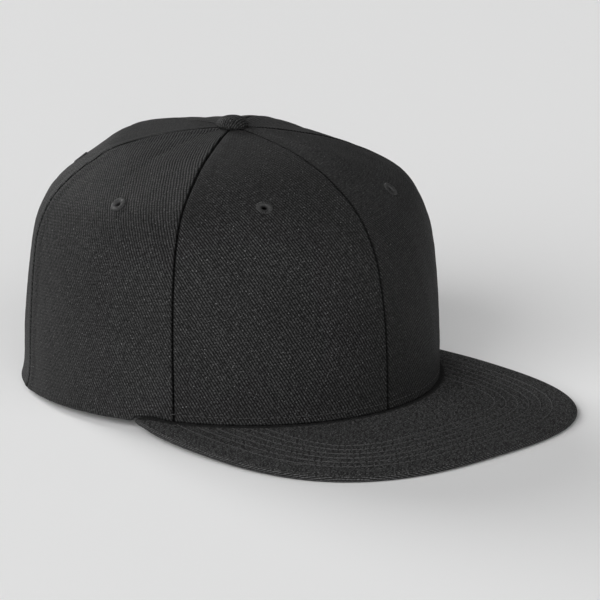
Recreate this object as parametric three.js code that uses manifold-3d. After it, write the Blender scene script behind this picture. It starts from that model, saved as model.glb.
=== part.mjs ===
// A flat bill cap: six cloth panels, a top button, a flat bill, a sweatband and six sewn eyelets.
// Millimetres, with +X to the front of the bill, +Y to the wearer's left and +Z up.
// The cap stands by itself, on the front corners of its bill and on the back of its rim.
import * as THREE from "three";
import { mergeVertices } from "three/addons/utils/BufferGeometryUtils.js";
import Module from "manifold-3d";

// Crown, measured from its upright axis and from the surface that the cap rests on
const RIM_FRONT = 97.5; // axis to the front of the rim
const RIM_BACK = 99.2; // axis to the back of the rim
const RIM_SIDE = 90.5; // axis to the rim at the ears
const RIM_EGG = 0.6; // a three-lobed wave that draws the brow in and fills the temples
const CROWN_HEIGHT = 115.6;
const TIP_RADIUS = 2.8; // opening where the six panels meet, under the button
const CLOTH = 2; // wall of a panel: twill on its backing
const PANEL_FLATNESS = 2; // how far a panel's middle lies inside the round line of its seams
const PIECE_GAP = 0.3; // clearance between two pieces

// Shape of the crown from the rim up. The height is a share of CROWN_HEIGHT. The other columns say
// how far out the wall is at the front, side, back and rear seams, as a share of the rim there.
const CROWN_ROWS = [
  { height: 0, front: 1, side: 1, back: 1, rear: 1 },
  { height: 0.056, front: 0.994, side: 0.985, back: 0.981, rear: 0.991 },
  { height: 0.112, front: 0.991, side: 0.986, back: 0.974, rear: 0.984 },
  { height: 0.242, front: 0.987, side: 0.991, back: 0.971, rear: 0.976 },
  { height: 0.381, front: 0.975, side: 0.993, back: 0.964, rear: 0.965 },
  { height: 0.502, front: 0.952, side: 0.985, back: 0.953, rear: 0.953 },
  { height: 0.606, front: 0.921, side: 0.966, back: 0.937, rear: 0.933 },
  { height: 0.683, front: 0.879, side: 0.938, back: 0.908, rear: 0.899 },
  { height: 0.753, front: 0.822, side: 0.895, back: 0.863, rear: 0.849 },
  { height: 0.813, front: 0.746, side: 0.826, back: 0.797, rear: 0.789 },
  { height: 0.865, front: 0.65, side: 0.714, back: 0.716, rear: 0.718 },
  { height: 0.904, front: 0.562, side: 0.597, back: 0.635, rear: 0.655 },
  { height: 0.934, front: 0.467, side: 0.461, back: 0.547, rear: 0.581 },
  { height: 0.96, front: 0.357, side: 0.306, back: 0.417, rear: 0.449 },
  { height: 0.981, front: 0.223, side: 0.183, back: 0.293, rear: 0.312 },
  { height: 0.995, front: 0.099, side: 0.071, back: 0.167, rear: 0.175 },
  { height: 1, front: 0, side: 0, back: 0, rear: 0 },
];

// Seams of the left half, as degrees round from the front, with the forward bow of each at half height.
const SEAMS = [
  { column: "front", angle: 0, bow: 0 },
  { column: "side", angle: 59.7, bow: 0 },
  { column: "back", angle: 121.8, bow: 1.7 },
  { column: "rear", angle: 180, bow: 0 },
];

// Panels, each from one seam to the next on its side of the cap. The eyelet's place is given as
// a share of the way across the panel, from its front seam, and of CROWN_HEIGHT.
const PANELS = [
  { name: "front_left", side: 1, seam: 0, across: 0.43, up: 0.812 },
  { name: "front_right", side: -1, seam: 0, across: 0.54, up: 0.833 },
  { name: "side_left", side: 1, seam: 1, across: 0.43, up: 0.814 },
  { name: "side_right", side: -1, seam: 1, across: 0.43, up: 0.814 },
  { name: "back_left", side: 1, seam: 2, across: 0.47, up: 0.855 },
  { name: "back_right", side: -1, seam: 2, across: 0.47, up: 0.855 },
];

// Hem behind the bill, which rises from the resting stretch at the back to the bill's corners
const HEM_DROP = 1.7; // hem below the bill's upper face, at the bill's corner
const HEM_STEP = 3; // length of rim over which the hem passes the bill's corner
const REST_ANGLE = 165; // the hem lies flat on the surface from here to the rear seam

// Bill
const BILL_THICKNESS = 3.2;
const BILL_CORNER_ANGLE = 71.1; // where the bill leaves the rim
const BILL_REACH = 65.1; // front of the rim to the bill's front edge
const BILL_FLARE = 5.8; // how far each side edge stands out beyond its corner at the widest line
const BILL_SIDE_RUN = 43.6; // from the corners forward to the widest line
const BILL_ROUNDNESS = 2.74; // exponent of the front outline: 2 is an ellipse, more is squarer
const BILL_PITCH = 2.67; // degrees that the bill climbs from its front edge to the rim
const BILL_DISH = 0.9; // drop of that climb below a straight line, 100 mm behind the front edge
const BILL_ARCH = 2.33; // drop of the side edges below the middle

// Button
const BUTTON_RADIUS = 7.15;
const BUTTON_BASE_RADIUS = 6.7;
const BUTTON_HEIGHT = 5.1;
const BUTTON_SKIRT = 1; // height at which the button is widest
const BUTTON_FULLNESS = 0.8; // exponent of the dome: 1 is round, less is fuller

// Sweatband
const SWEATBAND_HEIGHT = 30;
const SWEATBAND_THICKNESS = 1.5;
const SWEATBAND_GAP = 0.5;
const SWEATBAND_RISE = 1; // lower edge above the hem and above the bill's underside

// Eyelets
const EYELET_RADIUS = 3.3;
const EYELET_HOLE_RADIUS = 1.1;
const EYELET_TUBE_WALL = 0.4;
const EYELET_HEIGHT = 0.85; // thread ring above the cloth

// Facets
const PANEL_COLUMNS = 10;
const LEAST_SPACING = 0.35; // of two columns of a panel, as a share of the even spacing
const OUTLINE_FRONT_STEPS = 24;
const OUTLINE_SIDE_STEPS = 8;
const BILL_SECTIONS = 36;
const BILL_ROWS = 3;
const BILL_EDGE_TURNS = [45, 0, -45]; // degrees up from level of the points round the bill's edge
const SWEATBAND_COLUMNS = 60;
const SWEATBAND_ROWS = 3;
const BUTTON_SIDES = 20;
const BUTTON_ROWS = 6;
const EYELET_SIDES = 12;

const TWILL = { color: 0x1c1c1d, roughness: 0.9, metalness: 0 };
const THREAD = { color: 0x222223, roughness: 0.7, metalness: 0 };
const BAND = { color: 0x18181a, roughness: 0.95, metalness: 0 };

const wasm = await Module();
wasm.setup();

const radians = THREE.MathUtils.degToRad;
const lerp = THREE.MathUtils.lerp;

function named(name, geometry, look) {
  const mesh = new THREE.Mesh(geometry, new THREE.MeshStandardMaterial(look));
  mesh.name = name;
  return mesh;
}

// Rim and crown surface

function rimRadius(angle) {
  const lengthwise = (RIM_FRONT + RIM_BACK) / 2;
  const mean = (lengthwise + RIM_SIDE) / 2;
  const oval = (lengthwise - RIM_SIDE) / 2;
  const forward = (RIM_FRONT - RIM_BACK) / 2 - RIM_EGG;
  return (
    mean +
    forward * Math.cos(angle) +
    oval * Math.cos(2 * angle) +
    RIM_EGG * Math.cos(3 * angle)
  );
}

// One column of CROWN_ROWS as a smooth curve, read at a place counted in rows.
function columnAt(column, place) {
  const last = CROWN_ROWS.length - 1;
  const row = Math.min(Math.floor(place), last - 1);
  const value = (index) => CROWN_ROWS[index][column];
  const here = value(row);
  const next = value(row + 1);
  const before = row > 0 ? value(row - 1) : 2 * here - next;
  const after = row + 2 <= last ? value(row + 2) : 2 * next - here;
  const t = place - row;
  const bend = 2 * before - 5 * here + 4 * next - after;
  const twist = 3 * (here - next) + after - before;
  return here + 0.5 * t * (next - before + t * (bend + t * twist));
}

function seamAngle(seam, height) {
  const { angle, bow } = SEAMS[seam];
  return radians(angle - bow * Math.sin(Math.PI * Math.min(height, 1)));
}

// The pair of seams that an angle lies between, with its share of the way from one to the other.
function seamsAround(angle, height) {
  const turn = Math.abs(angle);
  let seam = 0;
  while (seam < SEAMS.length - 2 && turn > seamAngle(seam + 1, height)) seam += 1;
  const start = seamAngle(seam, height);
  const share = (turn - start) / (seamAngle(seam + 1, height) - start);
  return { seam, share: THREE.MathUtils.clamp(share, 0, 1) };
}

// Distance from the axis and height of the crown's outer face.
function crownProfile(angle, place) {
  const height = columnAt("height", place);
  const { seam, share } = seamsAround(angle, height);
  const ease = THREE.MathUtils.smoothstep(share, 0, 1);
  const fullness = lerp(
    columnAt(SEAMS[seam].column, place),
    columnAt(SEAMS[seam + 1].column, place),
    ease,
  );
  const flat = PANEL_FLATNESS * Math.sin(Math.PI * Math.max(height, 0) ** 1.5);
  const round = TIP_RADIUS + (rimRadius(angle) - TIP_RADIUS) * fullness;
  return new THREE.Vector2(
    round - flat * Math.sin(Math.PI * share),
    CROWN_HEIGHT * height,
  );
}

// The same, a depth inside the outer face, square to it.
function wallProfile(angle, place, depth) {
  const step = 0.02;
  const last = CROWN_ROWS.length - 1;
  const below = crownProfile(angle, Math.max(place - step, 0));
  const above = crownProfile(angle, Math.min(place + step, last));
  const along = above.sub(below).normalize();
  const inward = new THREE.Vector2(-along.y, along.x);
  return crownProfile(angle, place).addScaledVector(inward, depth);
}

function placeAtHeight(height) {
  let low = 0;
  let high = CROWN_ROWS.length - 1;
  while (high - low > 1e-6) {
    const middle = (low + high) / 2;
    if (columnAt("height", middle) * CROWN_HEIGHT < height) low = middle;
    else high = middle;
  }
  return low;
}

function polar(angle, radius, height) {
  return new THREE.Vector3(radius * Math.cos(angle), radius * Math.sin(angle), height);
}

// Bill surface

const cornerAngle = radians(BILL_CORNER_ANGLE);
const billCorner = polar(cornerAngle, rimRadius(cornerAngle), 0);
const billFront = RIM_FRONT + BILL_REACH;
const billWidest = billCorner.x + BILL_SIDE_RUN;
const billHalfWidth = billCorner.y + BILL_FLARE;

// Height of the bill's faces over the front edge's, before the bill is set down on the surface.
function billRise(x, y) {
  const behind = billFront - x;
  const climb = Math.tan(radians(BILL_PITCH)) * behind;
  return climb - BILL_DISH * (behind / 100) ** 2 - BILL_ARCH * (y / billHalfWidth) ** 2;
}

// Half of the bill's outline, from the middle of the front edge to the left corner.
function billHalfOutline() {
  const points = [];
  for (let i = 0; i <= OUTLINE_FRONT_STEPS; i += 1) {
    const turn = ((Math.PI / 2) * i) / OUTLINE_FRONT_STEPS;
    const reach = (billFront - billWidest) * Math.cos(turn) ** (2 / BILL_ROUNDNESS);
    const width = billHalfWidth * Math.sin(turn) ** (2 / BILL_ROUNDNESS);
    points.push(new THREE.Vector2(billWidest + reach, width));
  }
  for (let i = 1; i <= OUTLINE_SIDE_STEPS; i += 1) {
    const share = i / OUTLINE_SIDE_STEPS;
    const x = lerp(billWidest, billCorner.x, share);
    points.push(new THREE.Vector2(x, lerp(billHalfWidth, billCorner.y, share ** 2)));
  }
  return points;
}

const halfOutline = billHalfOutline();
const mirrored = halfOutline.slice(1).map((p) => new THREE.Vector2(p.x, -p.y));
const billOutline = new THREE.SplineCurve([...mirrored.reverse(), ...halfOutline]);

// The bill is set so that the lowest stretch of its underside touches the surface.
const billLift = -Math.min(...halfOutline.map((p) => billRise(p.x, p.y)));

function billTop(x, y) {
  return BILL_THICKNESS + billLift + billRise(x, y);
}

// Lower edge of the crown

function hemHeight(angle) {
  const start = billTop(billCorner.x, billCorner.y) - HEM_DROP;
  const share = (Math.abs(angle) - cornerAngle) / (radians(REST_ANGLE) - cornerAngle);
  return start * (1 - THREE.MathUtils.clamp(share, 0, 1));
}

const stepStart = cornerAngle + PIECE_GAP / rimRadius(cornerAngle);
const stepEnd = cornerAngle + HEM_STEP / rimRadius(cornerAngle);

// Height at a place of what lies a rise above the bill's upper face in front, and on the hem's
// line behind the bill's corners.
function edgeHeight(angle, radius, rise) {
  const at = polar(angle, radius, 0);
  const step = THREE.MathUtils.clamp((Math.abs(angle) - stepStart) / (stepEnd - stepStart), 0, 1);
  return lerp(billTop(at.x, at.y) + rise, hemHeight(angle), step);
}

function footHeight(angle, radius) {
  return edgeHeight(angle, radius, PIECE_GAP);
}

// Closed solids

// Joins loops of points, each with as many points, into one closed body with a cap at both ends.
// When the run is closed, the last loop joins the first and there are no caps.
function loft(loops, closed) {
  const size = loops[0].length;
  const indices = [];
  const spans = closed ? loops.length : loops.length - 1;
  for (let i = 0; i < spans; i += 1) {
    const here = i * size;
    const next = ((i + 1) % loops.length) * size;
    for (let j = 0; j < size; j += 1) {
      const k = (j + 1) % size;
      indices.push(here + j, next + k, next + j, here + j, here + k, next + k);
    }
  }
  if (!closed) {
    const last = (loops.length - 1) * size;
    const addCaps = (a, b, c) => indices.push(a, b, c, last + a, last + c, last + b);
    for (let j = 0, k = size - 1; j < k - 1; j += 1, k -= 1) {
      addCaps(j, k, j + 1);
      if (j + 1 < k - 1) addCaps(j + 1, k, k - 1);
    }
  }
  const geometry = new THREE.BufferGeometry().setFromPoints(loops.flat());
  geometry.setIndex(indices);
  geometry.computeVertexNormals();
  return geometry;
}

function solidOf(geometry) {
  const bare = geometry.clone();
  bare.deleteAttribute("normal");
  bare.deleteAttribute("uv");
  const merged = mergeVertices(bare, 1e-4);
  return new wasm.Manifold(
    new wasm.Mesh({
      numProp: 3,
      vertProperties: new Float32Array(merged.attributes.position.array),
      triVerts: new Uint32Array(merged.index.array),
    }),
  );
}

function geometryOf(solid) {
  const mesh = solid.getMesh();
  const geometry = new THREE.BufferGeometry();
  geometry.setAttribute("position", new THREE.BufferAttribute(mesh.vertProperties, 3));
  geometry.setIndex(new THREE.BufferAttribute(mesh.triVerts, 1));
  geometry.computeVertexNormals();
  return geometry;
}

// Panels

// Shares across a panel, with two columns at the hem's step where the bill's corner lies in it.
function panelShares(panel) {
  const start = seamAngle(panel.seam, 0);
  const width = seamAngle(panel.seam + 1, 0) - start;
  const shares = [];
  for (let i = 0; i <= PANEL_COLUMNS; i += 1) shares.push(i / PANEL_COLUMNS);
  const steps = [(stepStart - start) / width, (stepEnd - start) / width];
  const inside = steps.filter((share) => share > 0 && share < 1);
  const spacing = LEAST_SPACING / PANEL_COLUMNS;
  const kept = shares.filter(
    (share) =>
      share === 0 || share === 1 || inside.every((step) => Math.abs(step - share) > spacing),
  );
  return [...kept, ...inside].sort((a, b) => a - b);
}

// The outer and inner points of one column of a panel, as a loop from the outer foot to the inner foot.
function panelColumn(panel, share) {
  const top = CROWN_ROWS.length - 1;
  const outer = [];
  const inner = [];
  const angleAt = (place) => {
    const height = columnAt("height", place);
    const angle = lerp(seamAngle(panel.seam, height), seamAngle(panel.seam + 1, height), share);
    const inset = Math.asin(PIECE_GAP / 2 / crownProfile(angle, place).x);
    return angle + lerp(inset, -inset, share);
  };
  const rim = angleAt(0);
  const foot = footHeight(rim, rimRadius(rim));
  const footPlace = placeAtHeight(foot);
  const footAngle = angleAt(footPlace);
  const footRadius = crownProfile(footAngle, footPlace).x;
  const innerRadius = footRadius - CLOTH;
  const side = panel.side;
  outer.push(polar(side * footAngle, footRadius, footHeight(footAngle, footRadius)));
  inner.push(polar(side * footAngle, innerRadius, footHeight(footAngle, innerRadius)));
  for (let place = 2; place <= top; place += 1) {
    const angle = angleAt(place);
    const face = crownProfile(angle, place);
    const back = wallProfile(angle, place, CLOTH);
    outer.push(polar(side * angle, face.x, face.y));
    inner.push(polar(side * angle, back.x, back.y));
  }
  return [...outer, ...inner.reverse()];
}

// Point and outward direction of the crown's outer face at an eyelet.
function eyeletSeat(panel) {
  const place = placeAtHeight(panel.up * CROWN_HEIGHT);
  const start = seamAngle(panel.seam, panel.up);
  const angle = lerp(start, seamAngle(panel.seam + 1, panel.up), panel.across);
  const face = crownProfile(angle, place);
  const inside = wallProfile(angle, place, 1);
  const point = polar(panel.side * angle, face.x, face.y);
  const normal = point.clone().sub(polar(panel.side * angle, inside.x, inside.y)).normalize();
  return { point, normal };
}

function turnedTo(normal) {
  return new THREE.Quaternion().setFromUnitVectors(new THREE.Vector3(0, 0, 1), normal);
}

function panelGeometry(panel) {
  const columns = panelShares(panel).map((share) => panelColumn(panel, share));
  if (panel.side > 0) columns.reverse();
  const body = solidOf(loft(columns, false));
  const { point, normal } = eyeletSeat(panel);
  const radius = EYELET_HOLE_RADIUS + EYELET_TUBE_WALL + PIECE_GAP;
  const drill = new THREE.CylinderGeometry(radius, radius, 6 * CLOTH, EYELET_SIDES);
  drill.rotateX(Math.PI / 2);
  drill.applyQuaternion(turnedTo(normal));
  drill.translate(point.x, point.y, point.z);
  return geometryOf(body.subtract(solidOf(drill)));
}

// Eyelets: a ring of thread on the face, with a short sleeve through the cloth.
function eyeletGeometry() {
  const sleeve = EYELET_HOLE_RADIUS + EYELET_TUBE_WALL;
  const crest = (EYELET_RADIUS + sleeve) / 2;
  const profile = [
    new THREE.Vector2(EYELET_HOLE_RADIUS, -CLOTH),
    new THREE.Vector2(sleeve, -CLOTH),
    new THREE.Vector2(sleeve, PIECE_GAP),
    new THREE.Vector2(EYELET_RADIUS, PIECE_GAP),
    new THREE.Vector2(crest, EYELET_HEIGHT),
    new THREE.Vector2(EYELET_HOLE_RADIUS, (PIECE_GAP + EYELET_HEIGHT) / 2),
    new THREE.Vector2(EYELET_HOLE_RADIUS, -CLOTH),
  ];
  const ring = new THREE.LatheGeometry(profile, EYELET_SIDES);
  return ring.rotateX(Math.PI / 2);
}

function eyelet(panel) {
  const mesh = named("eyelet_" + panel.name, eyeletGeometry(), THREAD);
  const { point, normal } = eyeletSeat(panel);
  mesh.position.copy(point);
  mesh.quaternion.copy(turnedTo(normal));
  return mesh;
}

// Bill: sections from its left corner round to its right one, each with a rounded outer edge.
function billSection(share) {
  const angle = lerp(-cornerAngle, cornerAngle, share);
  const inner = polar(angle, rimRadius(angle) - CLOTH, 0);
  const edge = billOutline.getPointAt(share);
  const outer = new THREE.Vector3(edge.x, edge.y, 0);
  const half = BILL_THICKNESS / 2;
  const outward = outer.clone().sub(inner).normalize();
  const turnCentre = outer.clone().addScaledVector(outward, -half);
  const upper = [];
  const lower = [];
  for (let i = 0; i <= BILL_ROWS; i += 1) {
    const at = inner.clone().lerp(turnCentre, i / BILL_ROWS);
    const top = billTop(at.x, at.y);
    upper.push(new THREE.Vector3(at.x, at.y, top));
    lower.push(new THREE.Vector3(at.x, at.y, top - BILL_THICKNESS));
  }
  const round = BILL_EDGE_TURNS.map((degrees) => {
    const at = turnCentre.clone().addScaledVector(outward, half * Math.cos(radians(degrees)));
    const middle = billTop(at.x, at.y) - half;
    return new THREE.Vector3(at.x, at.y, middle + half * Math.sin(radians(degrees)));
  });
  return [...upper, ...round, ...lower.reverse()];
}

function billGeometry() {
  const sections = [];
  for (let i = 0; i <= BILL_SECTIONS; i += 1) sections.push(billSection(i / BILL_SECTIONS));
  return loft(sections, false);
}

// Button: a low dome on a flat base, over the tips of the panels.
function buttonGeometry() {
  const base = CROWN_HEIGHT + PIECE_GAP;
  const profile = [new THREE.Vector2(0, base), new THREE.Vector2(BUTTON_BASE_RADIUS, base)];
  for (let i = 0; i <= BUTTON_ROWS; i += 1) {
    const turn = ((Math.PI / 2) * i) / BUTTON_ROWS;
    const radius = i === BUTTON_ROWS ? 0 : BUTTON_RADIUS * Math.cos(turn) ** BUTTON_FULLNESS;
    const height = base + BUTTON_SKIRT + (BUTTON_HEIGHT - BUTTON_SKIRT) * Math.sin(turn);
    profile.push(new THREE.Vector2(radius, height));
  }
  return new THREE.LatheGeometry(profile, BUTTON_SIDES).rotateX(Math.PI / 2);
}

// Sweatband: a closed band inside the rim, from just above the hem.
function sweatbandLoop(angle) {
  const edge = edgeHeight(angle, rimRadius(angle) - CLOTH, -BILL_THICKNESS);
  const depth = CLOTH + SWEATBAND_GAP;
  const outer = [];
  const inner = [];
  for (let i = 0; i <= SWEATBAND_ROWS; i += 1) {
    const height = edge + SWEATBAND_RISE + (SWEATBAND_HEIGHT * i) / SWEATBAND_ROWS;
    const radius = crownProfile(angle, placeAtHeight(height)).x - depth;
    outer.push(polar(angle, radius, height));
    inner.push(polar(angle, radius - SWEATBAND_THICKNESS, height));
  }
  return [...inner, ...outer.reverse()];
}

function sweatbandGeometry() {
  const loops = [];
  for (let i = 0; i < SWEATBAND_COLUMNS; i += 1) {
    loops.push(sweatbandLoop(Math.PI * ((2 * i) / SWEATBAND_COLUMNS - 1)));
  }
  return loft(loops, true);
}

function buildCap() {
  const cap = new THREE.Group();
  for (const panel of PANELS) {
    cap.add(named(panel.name + "_panel", panelGeometry(panel), TWILL));
    cap.add(eyelet(panel));
  }
  cap.add(named("bill", billGeometry(), TWILL));
  cap.add(named("top_button", buttonGeometry(), TWILL));
  cap.add(named("sweatband", sweatbandGeometry(), BAND));
  return cap;
}

// The origin is the middle of the cap's box, on the surface that it rests on.
const cap = buildCap();
cap.updateMatrixWorld(true);
const box = new THREE.Box3().setFromObject(cap, true);
const middle = box.getCenter(new THREE.Vector3());
cap.position.set(-middle.x, -middle.y, -box.min.z);

export default cap;
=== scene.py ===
# A black flat bill cap: six twill panels, a stitched flat bill, a covered button and sewn eyelets.
import math
import random

import bpy
import numpy as np
from mathutils import Matrix, Vector


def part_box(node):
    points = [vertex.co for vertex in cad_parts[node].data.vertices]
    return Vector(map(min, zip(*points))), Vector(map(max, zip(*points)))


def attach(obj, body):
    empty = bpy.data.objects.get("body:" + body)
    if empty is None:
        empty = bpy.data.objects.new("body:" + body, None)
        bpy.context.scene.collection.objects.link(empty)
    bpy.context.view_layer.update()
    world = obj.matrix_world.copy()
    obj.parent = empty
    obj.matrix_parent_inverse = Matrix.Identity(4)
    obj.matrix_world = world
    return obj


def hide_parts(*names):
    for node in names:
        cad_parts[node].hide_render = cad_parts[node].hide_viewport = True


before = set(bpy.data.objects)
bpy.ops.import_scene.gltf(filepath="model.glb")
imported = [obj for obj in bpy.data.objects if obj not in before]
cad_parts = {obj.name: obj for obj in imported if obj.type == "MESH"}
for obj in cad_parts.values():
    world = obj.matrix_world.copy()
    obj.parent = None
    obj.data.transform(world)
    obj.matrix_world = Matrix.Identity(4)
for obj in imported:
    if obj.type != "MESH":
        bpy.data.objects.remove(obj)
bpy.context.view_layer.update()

# Every length below is in millimetres, with x measured from the crown's upright axis.
MM = 0.001
button_low, button_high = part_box("top_button")
AXIS_X = (button_low.x + button_high.x) / 2 / MM

# Crown: the same surface as the solids have. The rows' numbers are rounded from a least-squares
# fit to points picked on the photo's seams and outlines.
RIM_FRONT = 97.5
RIM_BACK = 99.2
RIM_SIDE = 90.5
RIM_EGG = 0.6
CROWN_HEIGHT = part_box("front_right_panel")[1].z / MM
TIP_RADIUS = 2.8
CLOTH = 2
PANEL_FLATNESS = 2
PIECE_GAP = 0.3
CROWN_ROWS = {
    "height": [
        0, 0.056, 0.112, 0.242, 0.381, 0.502, 0.606, 0.683, 0.753,
        0.813, 0.865, 0.904, 0.934, 0.96, 0.981, 0.995, 1,
    ],
    "front": [
        1, 0.994, 0.991, 0.987, 0.975, 0.952, 0.921, 0.879, 0.822,
        0.746, 0.65, 0.562, 0.467, 0.357, 0.223, 0.099, 0,
    ],
    "side": [
        1, 0.985, 0.986, 0.991, 0.993, 0.985, 0.966, 0.938, 0.895,
        0.826, 0.714, 0.597, 0.461, 0.306, 0.183, 0.071, 0,
    ],
    "back": [
        1, 0.981, 0.974, 0.971, 0.964, 0.953, 0.937, 0.908, 0.863,
        0.797, 0.716, 0.635, 0.547, 0.417, 0.293, 0.167, 0,
    ],
    "rear": [
        1, 0.991, 0.984, 0.976, 0.965, 0.953, 0.933, 0.899, 0.849,
        0.789, 0.718, 0.655, 0.581, 0.449, 0.312, 0.175, 0,
    ],
}
TOP = len(CROWN_ROWS["height"]) - 1
SEAMS = [
    {"column": "front", "angle": 0, "bow": 0, "ridge": 0.1},
    {"column": "side", "angle": 59.7, "bow": 0, "ridge": 0.2},
    {"column": "back", "angle": 121.8, "bow": 1.7, "ridge": 0.5},
    {"column": "rear", "angle": 180, "bow": 0, "ridge": 0.4},
]

# Panels. The eyelet's place is a share of the way across and of CROWN_HEIGHT. The grain is the
# slope of the twill's ribs, in degrees below level on the way to the right, seen from outside.
PANELS = [
    {"name": "front_left", "side": 1, "seam": 0, "across": 0.43, "up": 0.812, "grain": 57},
    {"name": "front_right", "side": -1, "seam": 0, "across": 0.54, "up": 0.833, "grain": 58.5},
    {"name": "side_left", "side": 1, "seam": 1, "across": 0.43, "up": 0.814, "grain": 62},
    {"name": "side_right", "side": -1, "seam": 1, "across": 0.43, "up": 0.814, "grain": 58},
    {"name": "back_left", "side": 1, "seam": 2, "across": 0.47, "up": 0.855, "grain": 62},
    {"name": "back_right", "side": -1, "seam": 2, "across": 0.47, "up": 0.855, "grain": 60},
]

# Fine shape of the panels
SEAM_ROLL = 0.6  # width over which a panel's edge rolls down into its seam
SEAM_DEPTH = 0.85
SEAM_ALLOWANCE = 5  # width of the cloth folded back behind a seam, which lifts the ridge there
ALLOWANCE_FADE = 2.5
RIDGE_START = 1.2  # width over which the ridge rises beside the seam
SEAM_PAINTED_SHADE = (0.2, 0.8)  # distances from a seam between which its painted shade fades out
HEM_PAINTED_SHADE = (0.1, 0.7)  # the same for the painted shade above the lower edge over the bill
HEM_ROLL = 0.9
HEM_DEPTH = 0.81
TOP_STEP = 0.12  # rise of the side panels over the front ones at their seam, near the button
TOP_STEP_CLIMB = (0.8, 0.9)
TOP_STEP_END = (0.985, 1)
TOP_STEP_SIDE = (1, 4.5)  # distances from the seam between which the step fades out
TOP_STEP_FRONT = (0.5, 4)
UNEVENNESS = 0.28
UNEVEN_LENGTH = 62  # longest wave of the cloth's unevenness
UNEVEN_MARGIN = 9  # width beside the seams and the lower edge where it dies out
WAVES = 9
WAVE_SHRINK = 1.35  # how much shorter each wave is than the one before
WAVE_FADE = 1.15  # and how much lower
PANEL_COLUMNS = 96
COLUMN_CROWDING = 0.85  # how strongly the columns crowd towards the seams
CORNER_COLUMNS = 8  # extra columns where the lower edge steps down past the bill's corner
CORNER_SPACE = 0.008  # least share of the width between these and the even columns
FOOT_ROWS = [0, 0.06, 0.2, 0.42, 0.7, 1.05, 1.6]  # heights of the first rows above the lower edge
LOW_ROWS = 14  # rows from there up to LEVEL_HEIGHT, where the rows become level
LEVEL_HEIGHT = 26
HIGH_ROWS = 100
TOP_CREST = 1.05  # rise of the crown's top beside its seams, where the allowances stiffen it
TOP_CREST_START = 0.9
TOP_CREST_WIDENING = 0.8
FRONT_CREST = (0.3, 0.9)  # shares of the front panels' width over which their crest comes in
TOP_SAG = 1.15  # dip of the cloth between the seams
TOP_SAG_START = 0.74
TOP_SAG_END = 0.94
FRONT_SAG = 0.4  # share of that dip on the front panels, which are the stiffest
FRONT_PUFF = 2.6  # soft fold beside the front seam, on the left near the button
FRONT_PUFF_SHARE = 0.3
FRONT_PUFF_WIDTH = 0.16
FRONT_PUFF_SEAM = 0.12
FRONT_PUFF_HEIGHT = 0.935
FRONT_PUFF_LENGTH = 0.05
BACK_SWELL = 0.7  # fullness of the back panels below their middle
BACK_SWELL_END = 0.48

# Hem behind the bill
HEM_DROP = 1.7
HEM_STEP = 3
REST_ANGLE = 165

# Bill
BILL_THICKNESS = 3.2
BILL_CORNER_ANGLE = 71.1
BILL_REACH = 65.1
BILL_FLARE = 5.8
BILL_SIDE_RUN = 43.6
BILL_ROUNDNESS = 2.74
BILL_PITCH = 2.67
BILL_DISH = 0.9
BILL_ARCH = 2.33
BILL_EDGE_FALL = 0.35  # drop of both faces' cloth towards the edge of the board
BILL_EDGE_WIDTH = 7
BILL_UNDER_FALL = 0.4  # share of that drop on the lower face
BILL_UNEVENNESS = 0.12
BILL_UNEVEN_LENGTH = 48
BILL_UNEVEN_START = (2, 14)  # distances in from the edge over which the unevenness comes in
BILL_PAINTED_SHADE = (0.3, 1.5)  # distances from the crown between which the painted shade of the corner fades
BILL_END_RUN = 5  # length over which each end of the bill rounds off at its corner
BILL_END_REACH = 0.35  # share of the bill's reach, and below of its thickness, left at the end
BILL_END_THICKNESS = 0.55
BILL_PUFF = 0.9  # rise of the bunched cloth beside the crown near each corner
BILL_PUFF_ANGLE = 66
BILL_PUFF_SPREAD = 3.5
BILL_PUFF_REACH = 4
OUTLINE_FRONT_STEPS = 160
OUTLINE_SIDE_STEPS = 60
BILL_SECTIONS = 240
BILL_ROWS = 104
BILL_EDGE_STEPS = 14
BILL_GRAIN = -46  # degrees from the ribs to the front, seen from above

# Stitches
STITCH_PITCH = 2.7
STITCH_LENGTH = 2.2
STITCH_RADIUS = 0.21
STITCH_LIFT = 0.16  # how far a stitch's middle lies above its path, and its ends below it
STITCH_POINTS = 7
THREAD_SIDES = 6
BILL_ROW_FIRST = 11  # outermost row of stitches, in from the bill's edge
BILL_ROW_STEP = 5
BILL_ROW_COUNT = 6
BILL_ROW_POINTS = 400
BILL_ROW_END = 1.2  # distance from the crown where the rows stop
BILL_ROW_LIFT = 0.06  # height of the rows over the bottom of their grooves
ROW_GROOVE = 0.16
ROW_GROOVE_WIDTH = 0.8
ROW_GROOVE_END = 6  # distance from the crown over which the grooves become shallow
UNDERSTITCH_LOWEST = 0.4  # keeps the bill's lower stitches off the surface under it
TOPSTITCH_RISE = 3.3  # row along the crown's lower edge, above the bill
TOPSTITCH_SINK = 0.12
TOPSTITCH_LENGTH = 1.7
TOPSTITCH_POINTS = 300

# Thread ends on the bill
LOOSE_ENDS = [(83.3, -60.2), (85.4, -81.9)]
LOOSE_POINTS = 9
LOOSE_STEP = 0.6
LOOSE_RADIUS = 0.15
LOOSE_FOOT = 0.1
LOOSE_RISE = 0.7

# Button
BUTTON_RADIUS = 7.15
BUTTON_BASE_RADIUS = 6.7
BUTTON_HEIGHT = 5.1
BUTTON_SKIRT = 1
BUTTON_FULLNESS = 0.8
BUTTON_SIDES = 96
BUTTON_ROWS = 26
BUTTON_GRAIN = 79
BUTTON_TUCKS = 11  # folds of the cloth round the button's foot
BUTTON_TUCK_DEPTH = 0.02
BUTTON_TUCK_HEIGHT = 2.2

# Sweatband
SWEATBAND_HEIGHT = 30
SWEATBAND_THICKNESS = 1.5
SWEATBAND_GAP = 0.5
SWEATBAND_RISE = 1
SWEATBAND_SWELL = 0.35
SWEATBAND_SQUARENESS = 12  # the higher, the tighter its edges are rounded
SWEATBAND_COLUMNS = 180
SWEATBAND_ROWS = 24

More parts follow.
